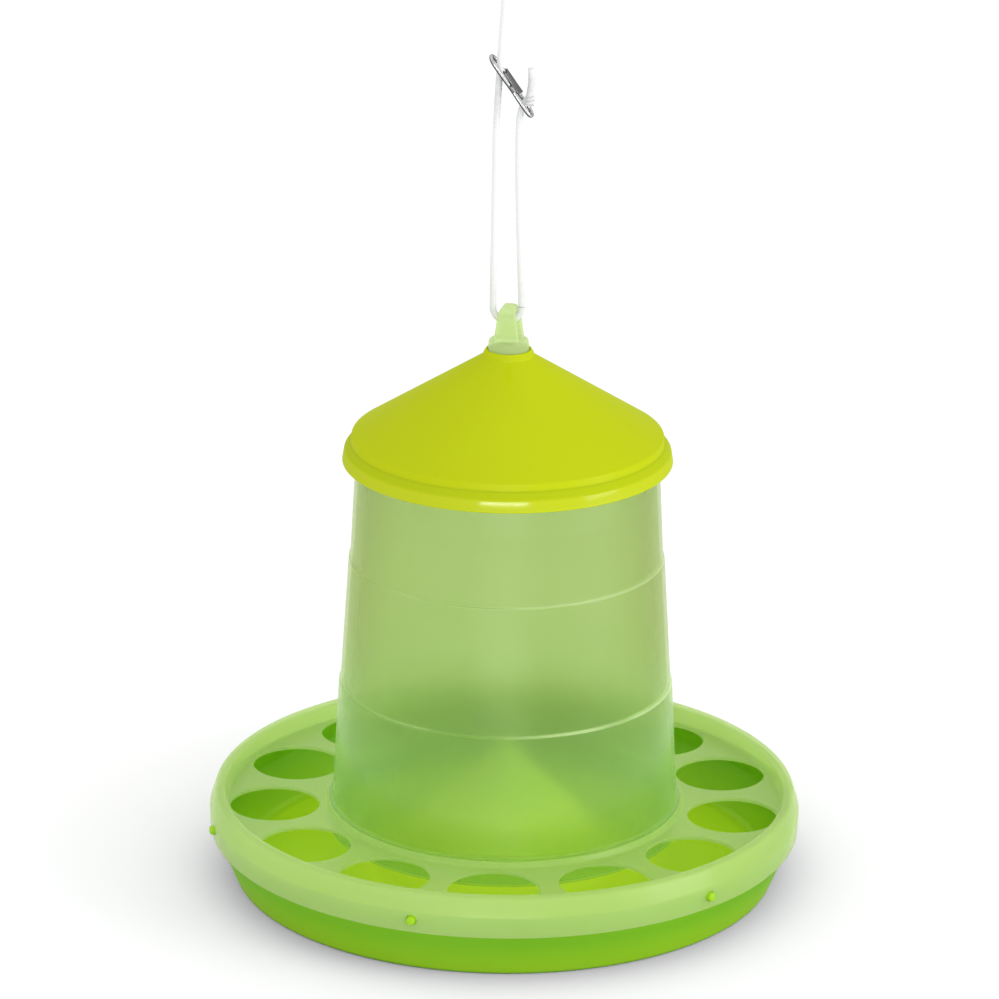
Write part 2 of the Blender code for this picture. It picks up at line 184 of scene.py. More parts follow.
def arc(x, z, radius, start, end, steps):
    turns = [math.radians(start + (end - start) * i / steps) for i in range(steps + 1)]
    return [(x + radius * math.cos(a), z + radius * math.sin(a)) for a in turns]


def combine(target, tool, operation):
    """Applies a Boolean and removes the tool."""
    step = target.modifiers.new("combine", "BOOLEAN")
    step.operation = operation
    step.object = tool
    step.solver = "EXACT"
    apply_modifiers(target)
    bpy.data.objects.remove(tool, do_unlink=True)


def apply_modifiers(obj):
    bpy.context.view_layer.update()
    shown = obj.evaluated_get(bpy.context.evaluated_depsgraph_get())
    mesh = bpy.data.meshes.new_from_object(shown)
    old = obj.data
    obj.modifiers.clear()
    obj.data = mesh
    bpy.data.meshes.remove(old)


def smooth_route(points, spacing):
    """Evenly spaced points on a Catmull-Rom curve through the given ones."""
    ends = [2 * points[0] - points[1], *points, 2 * points[-1] - points[-2]]
    fine = []
    for a, b, c, d in zip(ends, ends[1:], ends[2:], ends[3:]):
        for i in range(ROUTE_STEPS):
            t = i / ROUTE_STEPS
            linear = (c - a) * t
            square = (2 * a - 5 * b + 4 * c - d) * t**2
            cube = (3 * b - a - 3 * c + d) * t**3
            fine.append(b + (linear + square + cube) / 2)
    fine.append(points[-1])
    line = np.array(fine)
    along = distances(line)
    at = np.linspace(0, along[-1], max(3, round(along[-1] / spacing) + 1))
    return np.stack([np.interp(at, along, line[:, k]) for k in range(3)], axis=1)


def distances(line):
    """The distance along a line of points, at each of them."""
    steps = np.linalg.norm(np.diff(line, axis=0), axis=1)
    return np.concatenate([[0], np.cumsum(steps)])


def swept(name, line, radius_at, sides, material, closed=False):
    """A tube about a line of points. radius_at gives its radius by turn and by distance along.

    The attribute relief holds each point's radius as a share of the greatest.
    """
    line = np.asarray(line, float)
    count = len(line)
    if closed:
        tangent = np.roll(line, -1, 0) - np.roll(line, 1, 0)
    else:
        tangent = np.gradient(line, axis=0)
    tangent /= np.linalg.norm(tangent, axis=1)[:, None]
    side = np.cross(tangent[0], (0, 1, 0))
    nearly_none = 0.1
    if np.linalg.norm(side) < nearly_none:
        side = np.cross(tangent[0], (1, 0, 0))
    sides_at = []
    for t in tangent:
        side = side - t * (side @ t)
        side = side / np.linalg.norm(side)
        sides_at.append(side)
    across = np.array(sides_at)
    up = np.cross(tangent, across)
    turns = math.tau * np.arange(sides) / sides
    radius = radius_at(turns[None, :], distances(line)[:, None]) * np.ones((count, sides))
    ring = np.cos(turns)[None, :, None] * across[:, None] + np.sin(turns)[None, :, None] * up[:, None]
    verts = (line[:, None] + radius[:, :, None] * ring).reshape(-1, 3)
    faces = []
    for k in range(count if closed else count - 1):
        m = (k + 1) % count
        for i in range(sides):
            j = (i + 1) % sides
            faces.append((k * sides + i, k * sides + j, m * sides + j, m * sides + i))
    if not closed:
        faces.append(tuple(reversed(range(sides))))
        faces.append(tuple(range((count - 1) * sides, count * sides)))
    tube = new_object(name, verts, faces, material)
    relief = tube.data.attributes.new("relief", "FLOAT", "POINT")
    relief.data.foreach_set("value", (radius / radius.max()).ravel().astype(np.float32))
    return tube


def outward(name):
    """The middle of a lug's CAD box, the level direction out through it, and a frame whose Z is that way."""
    low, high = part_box(name)
    centre = (low + high) / 2
    out = Vector((centre.x, centre.y, 0)).normalized()
    return centre, out, out.to_track_quat("Z", "Y").to_matrix().to_4x4()


# ---------------------------------------------------------------- node tools

WHITE = (1, 1, 1, 1)


class Shader:
    """A new node material, with a short way to add nodes and join them."""

    def __init__(self, name):
        self.material = bpy.data.materials.new(name)
        self.material.use_nodes = True
        self.tree = self.material.node_tree
        self.tree.nodes.clear()
        self.out = self.tree.nodes.new("ShaderNodeOutputMaterial")

    def fill(self, socket, value):
        """Sets an input to a value, or joins an output to it."""
        if isinstance(value, bpy.types.NodeSocket):
            self.tree.links.new(value, socket)
        else:
            socket.default_value = value

    def add(self, kind, values=(), **settings):
        """A node. values are its inputs by name or number."""
        node = self.tree.nodes.new(kind)
        for key, value in settings.items():
            setattr(node, key, value)
        for key, value in dict(values).items():
            self.fill(node.inputs[key], value)
        return node

    def math(self, operation, a, b=0.0, c=0.0):
        return self.add("ShaderNodeMath", {0: a, 1: b, 2: c}, operation=operation).outputs[0]

    def place(self):
        return self.add("ShaderNodeTexCoord").outputs["Object"]

    def height(self):
        return self.add("ShaderNodeSeparateXYZ", {0: self.place()}).outputs[2]

    def radius_and_height(self):
        """The distance from the feeder's axis, and the height."""
        split = self.add("ShaderNodeSeparateXYZ", {0: self.place()})
        flat = self.add("ShaderNodeCombineXYZ", {0: split.outputs[0], 1: split.outputs[1]})
        length = self.add("ShaderNodeVectorMath", {0: flat.outputs[0]}, operation="LENGTH")
        return length.outputs["Value"], split.outputs[2]

    def facing(self, **values):
        """0 where the surface faces the viewer and 1 at its edge."""
        return self.add("ShaderNodeLayerWeight", {"Blend": 0.5, **values}).outputs["Facing"]

    def noise(self, scale, detail=4.0, stretch=(1, 1, 1)):
        spot = self.add("ShaderNodeVectorMath", {0: self.place(), 1: stretch}, operation="MULTIPLY")
        values = {"Vector": spot.outputs[0], "Scale": scale, "Detail": detail}
        return self.add("ShaderNodeTexNoise", values).outputs["Fac"]

    def span(self, value, low, high, to_low=0, to_high=1):
        """The value's place between low and high, from to_low to to_high and no further."""
        values = {"Value": value, "From Min": low, "From Max": high, "To Min": to_low, "To Max": to_high}
        return self.add("ShaderNodeMapRange", values, clamp=True).outputs["Result"]

    def mix(self, share, a, b):
        """The colour a, with the given share of the colour b."""
        node = self.add("ShaderNodeMix", data_type="RGBA")
        for key, value in zip(("Factor", "A", "B"), (share, a, b)):
            socket = [s for s in node.inputs if s.name == key and s.enabled][0]
            self.fill(socket, value)
        return [s for s in node.outputs if s.enabled][0]

    def blend(self, share, a, b):
        """The shader a, with the given share of the shader b."""
        return self.add("ShaderNodeMixShader", {0: share, 1: a, 2: b}).outputs[0]

    def bump(self, height, distance, strength=1.0):
        values = {"Height": height, "Distance": distance, "Strength": strength}
        return self.add("ShaderNodeBump", values).outputs["Normal"]

    def finish(self, shader):
        self.tree.links.new(shader, self.out.inputs["Surface"])
        return self.material


# ---------------------------------------------------------------- materials


def rgb(r, g, b):
    return (r, g, b, 1)


# Colours are linear, as the shaders take them.
RING_VEIL = rgb(0.58, 0.73, 0.28)
RING_VEIL_DEEP = rgb(0.54, 0.70, 0.24)
RING_TINT = rgb(0.86, 0.96, 0.70)
HOPPER_VEIL = rgb(0.25, 0.295, 0.055)
HOPPER_VEIL_DEEP = rgb(0.225, 0.27, 0.04)
HOPPER_VEIL_FOOT = rgb(0.26, 0.42, 0.11)
HOPPER_VEIL_EDGE_LIT = rgb(0.37, 0.43, 0.105)
HOPPER_VEIL_EDGE_LIT_FOOT = rgb(0.43, 0.68, 0.24)
HOPPER_STEP_HIGHLIGHT = rgb(0.85, 0.98, 0.60)
HOPPER_TINT = rgb(0.87, 0.96, 0.72)
HANGER_VEIL = rgb(0.64, 0.77, 0.38)
HANGER_VEIL_DEEP = rgb(0.61, 0.74, 0.34)
LIGHT_TINT = rgb(0.97, 0.99, 0.94)
TRAY_GREEN = rgb(0.150, 0.39, 0.008)
TRAY_GREEN_DEEP = rgb(0.135, 0.36, 0.006)
# The tray's floor and cone colours below are painted lighter than its green: painted light inside the tray.
# The floor colour is also the lugs' paler tone.
TRAY_FLOOR = rgb(0.36, 0.62, 0.012)
TRAY_CONE_LIT = rgb(0.52, 0.74, 0.02)
TRAY_SHADE = rgb(0.07, 0.075, 0.075)
LID_LIME = rgb(0.43, 0.50, 0.0004)
LID_LIME_DEEP = rgb(0.415, 0.48, 0.0004)
LID_RECESS_SHADE = rgb(0.37, 0.45, 0.0005)
CORD_WHITE = rgb(0.73, 0.74, 0.74)
CORD_SHADE = rgb(0.52, 0.53, 0.52)
LINK_BRIGHT = rgb(0.55, 0.55, 0.56)
LINK_SHADED_AND_WORN = rgb(0.03, 0.03, 0.03)
SHEET_BRIGHT = rgb(0.27, 0.27, 0.275)
SHEET_SHADED_AND_WORN = rgb(0.12, 0.12, 0.12)
STEEL_EDGE = rgb(0.25, 0.25, 0.25)
PAPER = rgb(0.92, 0.925, 0.935)
PAPER_PALE = rgb(0.93, 0.93, 0.935)

# How freely sight and light pass through each milky wall.
HOPPER_CLEAR = 0.82
HOPPER_CLEAR_FOOT = 0.77
HOPPER_CLEAR_BELOW = 0.86
HOPPER_LIGHT_CLEAR = 0.97
HOPPER_FROST = 0.42
HOPPER_GLOSS = 0.03
RING_CLEAR = 0.52
RING_CLEAR_COLLAR = 0.85
RING_LIGHT_CLEAR = 0.86
HANGER_CLEAR = 0.4
HANGER_LIGHT_CLEAR = 0.6
MILKY_GLOSS = 0.012
MILKY_GLOSS_EDGE = 0.35
SCATTERED_ON = 0.4  # the share of the veil's light that goes on through the wall
FROST_IOR = 1.15
PLASTIC_IOR = 1.49
PLASTIC_ROUGHNESS = 0.7
GRAIN_RELIEF = 0.04 * MM
GRAIN_STRENGTH = 0.5

MILKY_ROUGHNESS = (0.18, 0.26)
SIDE_CLEAR_LOSS = 0.25  # how much less is seen through a wall edge on than face on
SIDE_SHARP = 0.9  # how much of what is seen through a wall edge on isn't blurred
SIDE_POWER = 2.5
GLOSS_POWER = 5.0
TRAY_GLOSS = {"roughness": 0.32, "least": 0.015, "edge": 0.10}
LUG_GLOSS = {"roughness": 0.33, "least": 0.015, "edge": 0.10}
LID_ROUGHNESS = 0.12
LID_GLOSS = 0.011
LID_RIM_GLOSS = 0.022
LID_GLOSS_EDGE = 0.06
LINK_ROUGHNESS = (0.16, 0.28)
SHEET_ROUGHNESS = (0.3, 0.45)

# Noise scales: about how many features there are in a metre.
MILKY_GRAIN = 900.0
SOLID_GRAIN = 1100.0
FLOW_MARKS = 28.0
CLOUDS = 9.0
HIGHLIGHT_BREAKS = 14.0
FIBRES = 2600.0
DARK_PATCHES = 240.0
WEAR = 180.0
DRAWING_MARKS = 1500.0
PAPER_CLOUDS = 3.0

# Heights and radii between which a plastic or the cord changes, from none of the change to all of it.
FOOT_ZONE = (0.150, 0.085)
BELOW_PLATE_ZONE = (0.048, 0.044)
COLLAR_ZONE_R = (0.106, 0.103)
COLLAR_ZONE_Z = (0.0400, 0.0385)
TROUGH_ZONE_R = (0.164, 0.146)
CONE_ZONE_R = (0.098, 0.066)
TRAY_UPPER_ZONE = (0.8 * MM, 2 * MM)
CONE_TIP_ZONE = (0.040, 0.078)
CONE_TIP_SHARE = 0.7
TRAY_WALL_LEAN = 0.426
TRAY_WALL_ZONE = (0.1535, 0.1545)
RECESS_SHADE_OVER_RIM = (6.4 * MM, 7.8 * MM)
RECESS_SHADE_UNDER_CONE = (12.2 * MM, 11.0 * MM)
RIM_POLISH_ZONE = (7.5 * MM, 6.0 * MM)
LINK_SHADOW = ((0.440, 0.466), (0.474, 0.470))
EYE_GREYING = ((0.372, 0.342), (0.328, 0.333))
EYE_GREYING_SHARE = 0.5
# The low edge of each step of the hopper, and how strong its painted highlight is.
STEP_HIGHLIGHTS = ((0.1156, 0.8), (0.1904, 0.55))
STEP_HIGHLIGHT_RISE = 0.00055
STEP_HIGHLIGHT_HALF = 0.0007


def surface(s, scale, relief):
    """The fine grain and the slow flow marks of a moulding, as a normal, and the flow alone."""
    grain = s.noise(scale, 2.0)
    flow = s.noise(FLOW_MARKS, 3.0)
    height = s.math("MULTIPLY_ADD", flow, relief, grain)
    return s.bump(height, GRAIN_RELIEF, GRAIN_STRENGTH), flow


def glazed(s, body, normal, roughness, least, edge):
    """A body under a thin gloss: the share least is seen face on, and edge more at a glancing angle."""
    facing = s.facing(Normal=normal)
    share = s.math("MULTIPLY_ADD", s.math("POWER", facing, GLOSS_POWER), edge, least)
    gloss = s.add("ShaderNodeBsdfGlossy", {"Color": WHITE, "Roughness": roughness, "Normal": normal})
    return s.finish(s.blend(share, body, gloss.outputs[0]))


def cloudy(s):
    return s.span(s.noise(CLOUDS, 3.0), 0.35, 0.65)


def plain_body(s, colour, normal):
    values = {
        "Base Color": colour,
        "Roughness": PLASTIC_ROUGHNESS,
        "IOR": PLASTIC_IOR,
        "Specular IOR Level": 0.0,
        "Normal": normal,
    }
    return s.add("ShaderNodeBsdfPrincipled", values).outputs[0]


def milky(s, colour, clear, light_clear, tint, frost=None, plain=0.0, gloss=MILKY_GLOSS):
    """Milky polypropylene: what is behind shows tinted and blurred, under a veil of scattered light.

    Light passes more freely than sight does, because most of what the wall scatters still goes on through it.
    frost is how much the wall blurs face on, and plain is 1 where it doesn't blur.
    """
    normal, flow = surface(s, MILKY_GRAIN, 6.0)
    body = plain_body(s, colour, normal)
    spread = s.add("ShaderNodeBsdfTranslucent", {"Color": colour, "Normal": normal})
    solid = s.blend(SCATTERED_ON, body, spread.outputs[0])
    path = s.add("ShaderNodeLightPath")
    light = s.math("MAXIMUM", path.outputs["Is Shadow Ray"], path.outputs["Is Diffuse Ray"])
    facing = s.facing()
    behind = s.add("ShaderNodeBsdfTransparent", {"Color": s.mix(light, tint, LIGHT_TINT)}).outputs[0]
    if frost:
        blurred = s.add("ShaderNodeBsdfRefraction", {"Color": tint, "Roughness": frost, "IOR": FROST_IOR})
        face_on = s.math("POWER", s.math("SUBTRACT", 1.0, facing), SIDE_POWER)
        glancing = s.math("SUBTRACT", 1.0, face_on)
        sharp = s.math("MAXIMUM", s.math("MAXIMUM", light, plain), s.math("MULTIPLY", glancing, SIDE_SHARP))
        behind = s.blend(sharp, blurred.outputs[0], behind)
    edge_on = s.math("MULTIPLY", s.math("POWER", facing, 2.0), SIDE_CLEAR_LOSS)
    seen_through = s.math("MULTIPLY", clear, s.math("SUBTRACT", 1.0, edge_on))
    both = s.blend(s.span(light, 0, 1, seen_through, light_clear), solid, behind)
    roughness = s.span(flow, 0.3, 0.7, *MILKY_ROUGHNESS)
    return glazed(s, both, normal, roughness, gloss, MILKY_GLOSS_EDGE)


def hopper_plastic():
    """The hopper's wall: milkier towards its foot, with a veil painted lighter where it is seen edge on, and
    a broken painted highlight along each step.
    """
    s = Shader("hopper_plastic")
    height = s.height()
    foot = s.span(height, *FOOT_ZONE)
    face = s.mix(foot, s.mix(cloudy(s), HOPPER_VEIL, HOPPER_VEIL_DEEP), HOPPER_VEIL_FOOT)
    # Painted light: where the wall is seen edge on, its veil is painted lighter.
    side = s.mix(foot, HOPPER_VEIL_EDGE_LIT, HOPPER_VEIL_EDGE_LIT_FOOT)
    veil = s.mix(s.span(s.facing(), 0.2, 0.8), face, side)
    # Painted highlight: a pale line along each step, broken in places, and the wall is less clear under it.
    step_highlights = 0.0
    for low, strength in STEP_HIGHLIGHTS:
        off = s.math("ABSOLUTE", s.math("SUBTRACT", height, low + STEP_HIGHLIGHT_RISE))
        step_highlights = s.math("MAXIMUM", s.span(off, STEP_HIGHLIGHT_HALF, STEP_HIGHLIGHT_HALF / 2, 0, strength), step_highlights)
    broken = s.span(s.noise(HIGHLIGHT_BREAKS, 1.0, (1, 1, 0.1)), 0.42, 0.58, 0.1, 1.0)
    step_highlights = s.math("MULTIPLY", step_highlights, broken)
    below = s.span(height, *BELOW_PLATE_ZONE)
    clear = s.span(foot, 0, 1, HOPPER_CLEAR, HOPPER_CLEAR_FOOT)
    clear = s.math("MULTIPLY", clear, s.span(step_highlights, 0, 1, 1.0, 0.5))
    clear = s.math("MAXIMUM", clear, s.math("MULTIPLY", below, HOPPER_CLEAR_BELOW))
    colour = s.mix(step_highlights, veil, HOPPER_STEP_HIGHLIGHT)
    return milky(s, colour, clear, HOPPER_LIGHT_CLEAR, HOPPER_TINT, HOPPER_FROST, below, HOPPER_GLOSS)


def ring_plastic():
    """The ring's milky plate and skirt; the collar under the plate is clearer."""
    s = Shader("ring_plastic")
    radius, height = s.radius_and_height()
    collar = s.math("MULTIPLY", s.span(radius, *COLLAR_ZONE_R), s.span(height, *COLLAR_ZONE_Z))
    colour = s.mix(cloudy(s), RING_VEIL, RING_VEIL_DEEP)
    clear = s.span(collar, 0, 1, RING_CLEAR, RING_CLEAR_COLLAR)
    return milky(s, colour, clear, RING_LIGHT_CLEAR, RING_TINT)


def hanger_plastic():
    s = Shader("hanger_plastic")
    colour = s.mix(cloudy(s), HANGER_VEIL, HANGER_VEIL_DEEP)
    return milky(s, colour, HANGER_CLEAR, HANGER_LIGHT_CLEAR, RING_TINT)


def solid_plastic(s, colour, roughness, least, edge):
    normal, flow = surface(s, SOLID_GRAIN, 5.0)
    rough = s.span(flow, 0.3, 0.7, roughness - 0.04, roughness + 0.05)
    return glazed(s, plain_body(s, colour, normal), normal, rough, least, edge)


def lid_plastic():
    """Lime. The recess at the cone's foot has painted shade, a little deeper in colour, and the rim below it
    is shinier.
    """
    s = Shader("lid_plastic")
    height = s.height()
    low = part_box("lid")[0].z
    over_rim = s.math("SUBTRACT", height, low)
    # Painted shade: the recess between the rim and the cone is painted a deeper lime.
    recess_shade = s.math("MULTIPLY", s.span(over_rim, *RECESS_SHADE_OVER_RIM), s.span(over_rim, *RECESS_SHADE_UNDER_CONE))
    colour = s.mix(recess_shade, s.mix(cloudy(s), LID_LIME, LID_LIME_DEEP), LID_RECESS_SHADE)
    polish = s.span(over_rim, *RIM_POLISH_ZONE, LID_GLOSS, LID_RIM_GLOSS)
    return solid_plastic(s, colour, LID_ROUGHNESS, polish, LID_GLOSS_EDGE)


def lug_plastic():
    s = Shader("lug_plastic")
    return solid_plastic(s, s.mix(cloudy(s), TRAY_FLOOR, TRAY_GREEN), **LUG_GLOSS)


def tray_plastic():
    """Opaque green; the cone and the trough's floor are painted lighter and yellower, painted light inside
    the tray.

    Its outer wall shows dark grey to light that bounces off it, a painted shade that darkens the floor next
    to the tray and casts little green on it.
    """
    s = Shader("tray_plastic")
    radius, height = s.radius_and_height()
    green = s.mix(cloudy(s), TRAY_GREEN, TRAY_GREEN_DEEP)
    upper = s.span(height, *TRAY_UPPER_ZONE)
    # Painted light: the trough's floor and the cone are painted lighter and yellower than the outside; from
    # 40 mm up the cone this goes most of the way back to the outer green.
    lit_floor = s.math("MULTIPLY", s.span(radius, *TROUGH_ZONE_R), upper)
    lit_cone = s.math("MULTIPLY", s.span(radius, *CONE_ZONE_R), upper)
    colour = s.mix(lit_cone, s.mix(lit_floor, green, TRAY_FLOOR), TRAY_CONE_LIT)
    colour = s.mix(s.span(height, *CONE_TIP_ZONE, 0, CONE_TIP_SHARE), colour, TRAY_GREEN)
    # Painted shade: light that bounces off the outer wall finds it dark grey, which darkens the floor's
    # shadow by the tray.
    outside = s.span(s.math("MULTIPLY_ADD", height, -TRAY_WALL_LEAN, radius), *TRAY_WALL_ZONE)
    lighting = s.add("ShaderNodeLightPath").outputs["Is Diffuse Ray"]
    colour = s.mix(s.math("MULTIPLY", outside, lighting), colour, TRAY_SHADE)
    return solid_plastic(s, colour, **TRAY_GLOSS)


def braided_cord():
    """White braid, with painted shade between its strands, a painted shadow under the link, and greyer where
    it passes through the hanger's eye, both in patches.
    """
    s = Shader("braided_cord")
    height = s.height()
    # Painted shadow under the link, and greyer where the cord passes through the hanger's eye.
    at_link, at_eye = (
        s.math("MULTIPLY", s.span(height, *one_side), s.span(height, *other_side))
        for one_side, other_side in (LINK_SHADOW, EYE_GREYING)
    )
    darkened = s.math("MAXIMUM", at_link, s.math("MULTIPLY", at_eye, EYE_GREYING_SHARE))
    # Painted shade between the braid's strands.
    relief = s.add("ShaderNodeAttribute", attribute_name="relief").outputs["Fac"]
    groove_shade = s.span(relief, 0.99, 0.88, 0, 0.35)
    patchy = s.span(s.noise(DARK_PATCHES, 4.0), 0.3, 0.7, 0.4, 1.0)
    shade_share = s.math("MULTIPLY_ADD", s.math("MULTIPLY", darkened, patchy), 0.8, groove_shade)
    fibre = s.noise(FIBRES, 3.0, (1, 1, 0.35))
    values = {
        "Base Color": s.mix(s.math("MINIMUM", shade_share, 1.0), CORD_WHITE, CORD_SHADE),
        "Roughness": 0.85,
        "Sheen Weight": 0.2,
        "Sheen Roughness": 0.5,
        "Normal": s.bump(fibre, 0.08 * MM, 0.6),
    }
    return s.finish(s.add("ShaderNodeBsdfPrincipled", values).outputs[0])


def steel(name, bright, shaded_and_worn, roughness):
    """Plated steel, bright above, with painted shade on the side that faces down and darker worn patches."""
    s = Shader(name)
    wear = s.noise(WEAR, 4.0)
    fine = s.noise(DRAWING_MARKS, 3.0, (1, 1, 0.2))
    normal = s.add("ShaderNodeNewGeometry").outputs["Normal"]
    # Painted shade: the side that faces down and to the left is painted dark; worn patches darken too.
    shaded_side = (-0.75, 0.0, -0.66)
    down = s.add("ShaderNodeVectorMath", {0: normal, 1: shaded_side}, operation="DOT_PRODUCT")
    painted_shade = s.span(down.outputs["Value"], -0.1, 0.5)
    shade_and_wear = s.math("MAXIMUM", painted_shade, s.span(wear, 0.5, 0.75, 0, 0.5))
    values = {
        "Base Color": s.mix(shade_and_wear, bright, shaded_and_worn),
        "Metallic": 1.0,
        "Specular Tint": STEEL_EDGE,
        "Roughness": s.span(wear, 0.3, 0.7, *roughness),
        "Normal": s.bump(fine, 0.03 * MM, 0.5),
    }
    return s.finish(s.add("ShaderNodeBsdfPrincipled", values).outputs[0])


HOPPER_PLASTIC = hopper_plastic()
RING_PLASTIC = ring_plastic()
HANGER_PLASTIC = hanger_plastic()
TRAY_PLASTIC = tray_plastic()
LUG_PLASTIC = lug_plastic()
LID_PLASTIC = lid_plastic()
CORD_BRAID = braided_cord()
LINK_STEEL = steel("link_steel", LINK_BRIGHT, LINK_SHADED_AND_WORN, LINK_ROUGHNESS)
SHEET_STEEL = steel("sheet_steel", SHEET_BRIGHT, SHEET_SHADED_AND_WORN, SHEET_ROUGHNESS)

# ---------------------------------------------------------------- cord

# Points are (x, z) in mm, in the plane through the feeder's axis that faces the front.
CORD_R = 2 * MM
BEND = (-1.0, 338)  # the middle of the cord's bend round the hanger's eye
BEND_R = 8
CORD_LEFT = [(-9.0, 338), (-9.0, 352), (-8.6, 385), (-8.3, 420), (-7.6, 452), (-2.6, 538)]
TOP_LOOP = [
    (-3.2, 546),
    (-4.6, 551.2),
    (-9.6, 557.0),
    (-14.3, 562.6),
    (-15.8, 569.0),
    (-14.0, 576.0),
    (-9.0, 580.6),
    (-2.0, 582.3),
    (5.0, 580.6),
    (10.0, 576.0),
    (11.8, 569.0),
    (10.3, 562.6),
    (5.6, 557.0),
    (0.6, 551.2),
    (-0.8, 547),
]
CORD_RIGHT = [(7.0, 338.4), (6.4, 356), (5.2, 390), (4.5, 420), (4.6, 441), (5.2, 449.5), (7.2, 455.4)]
CORD_TAIL = [(9.9, 459.6), (11.0, 465.5), (11.3, 470), (11.1, 475.6)]
BRAID_STRANDS = 8
BRAID_PITCH = 2.7 * MM
BRAID_DEPTH = 0.30 * MM
BRAID_STEP = 0.42 * MM
BRAID_SIDES = 40
KNOT_STEP = 0.3 * MM
KNOT_SIDES = 24
TOP_KNOT_CORD_R = 1.45 * MM
TOP_KNOT_TURNS = 2.6
STOPPER_CORD_R = 1.15 * MM
STOPPER_TURNS = 2.2


def in_plane(points):
    return [Vector((x * MM, 0, z * MM)) for x, z in points]


def braid(radius):
    """The radius of a round braid by turn and by distance along: strands that cross over and under."""

    def at(turn, along):
        u = turn * BRAID_STRANDS / math.tau + along / BRAID_PITCH
        v = turn * BRAID_STRANDS / math.tau - along / BRAID_PITCH
        over = 0.5 + 0.5 * np.cos(math.pi * u) * np.cos(math.pi * v)
        one = np.abs(np.cos(math.pi * u)) ** 0.7 * (0.3 + 0.7 * over)
        two = np.abs(np.cos(math.pi * v)) ** 0.7 * (1 - 0.7 * over)
        return radius - BRAID_DEPTH * (1 - np.maximum(one, two))

    return at


def wrap_knot(name, box, thick, turns):
    """Cord wrapped round itself, then tucked under its own turns."""
    low, high = box
    centre = (low + high) / 2
    reach = (high.x - low.x) / 2 - thick
    rise = (high.z - low.z) - 2 * thick
    line = []
    steps = 90
    for i in range(steps + 1):
        t = i / steps
        a = math.tau * turns * t
        swell = 1 - 0.18 * (2 * t - 1) ** 2
        off = reach * swell
        line.append(centre + Vector((off * math.cos(a), off * math.sin(a), rise * (t - 0.5))))
    line.append(centre + Vector((-0.9 * reach, 0.75 * reach, 0.1 * rise)))
    return swept(name, smooth_route(line, KNOT_STEP), braid(thick), KNOT_SIDES, CORD_BRAID)


def make_cord(name, points):
    """A braided cord on a smooth route through the points, and that route."""
    line = smooth_route(in_plane(points), BRAID_STEP)
    cord = swept(name, line, braid(CORD_R), BRAID_SIDES, CORD_BRAID)
    return cord, line


def make_knot(name, node, body, thick, turns):
    knot = wrap_knot(name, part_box(node), thick, turns)
    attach(knot, body)
    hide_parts(node)
    return knot


def make_cords():
    bend = arc(*BEND, BEND_R, 0, -180, 24)
    main, main_line = make_cord("hanging_cord", [*bend[:-1], *CORD_LEFT, *TOP_LOOP])
    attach(main, "hopper_unit")
    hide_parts("cord_left", "cord_top_loop")
    back, back_line = make_cord("return_cord", [*CORD_RIGHT, *CORD_TAIL])
    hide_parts("cord_right", "cord_tail")
    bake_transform(back)
    top_knot = make_knot("top_knot_wrap", "top_knot", "hopper_unit", TOP_KNOT_CORD_R, TOP_KNOT_TURNS)
    stopper = make_knot("stopper_knot_wrap", "stopper_knot", "slider", STOPPER_CORD_R, STOPPER_TURNS)


make_cords()

# ---------------------------------------------------------------- tray

TRAY_SEGMENTS = 288
TRAY_WALL = 2.4
TRAY_FOOT_R = 155.0
TRAY_KNEE = (166.5, 27.0)
TRAY_RIM_OVER_LUG = 5.5 * MM  # how far the rim stands over the underside of its lugs
CONE_FOOT_R = 76.0
CONE_TOP_OVER_BOX = 1.8  # the cone's sharp tip, before rounding, over the top of the tray's CAD box
CONE_UNDER = 3.2  # from that tip down to the tip of the hollow under the cone
LUG_REACH = 172.4 * MM
LUG_INSET = 0.6 * MM
LUGS = 6


def make_tray():
    """The dish and the hollow cone in its middle. Corners are (radius, height, rounding) in mm."""
    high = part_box("tray")[1]
    crest = high.z / MM
    rim_r = high.x / MM
    rim_z = (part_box("tray_lug_1")[0].z + TRAY_RIM_OVER_LUG) / MM
    knee_r, knee_z = TRAY_KNEE
    tip = crest + CONE_TOP_OVER_BOX
    tip_under = tip - CONE_UNDER
    slope = CONE_FOOT_R / (tip - TRAY_WALL)

    def cone(z, apex, rounding):
        return ((apex - z) * slope, z, rounding)

    corners = [
        (0, crest, 0),
        (2.6, crest, 3),
        cone(tip - 5, tip, 3),
        cone(TRAY_WALL, tip, 9),
        (TRAY_FOOT_R - 2, TRAY_WALL, 5),
        (knee_r - TRAY_WALL, knee_z, 6),
        (rim_r - TRAY_WALL, rim_z, 1),
        (rim_r, rim_z, 1),
        (knee_r, knee_z, 6),
        (TRAY_FOOT_R + 0.2, 0, 2.2),
        (TRAY_FOOT_R - 9, 0, 0.6),
        (TRAY_FOOT_R - 10, 0.8, 0.6),
        (90, 0.8, 0.6),
        (89, 0, 0.6),
        cone(0, tip_under, 1.2),
        cone(tip_under - 2.5, tip_under, 2),
        (0, tip_under - 1.6, 0),
    ]
    tray = spun("tray_shell", rounded(scaled(corners)), TRAY_PLASTIC, TRAY_SEGMENTS)
    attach(tray, "base")
    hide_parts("tray")


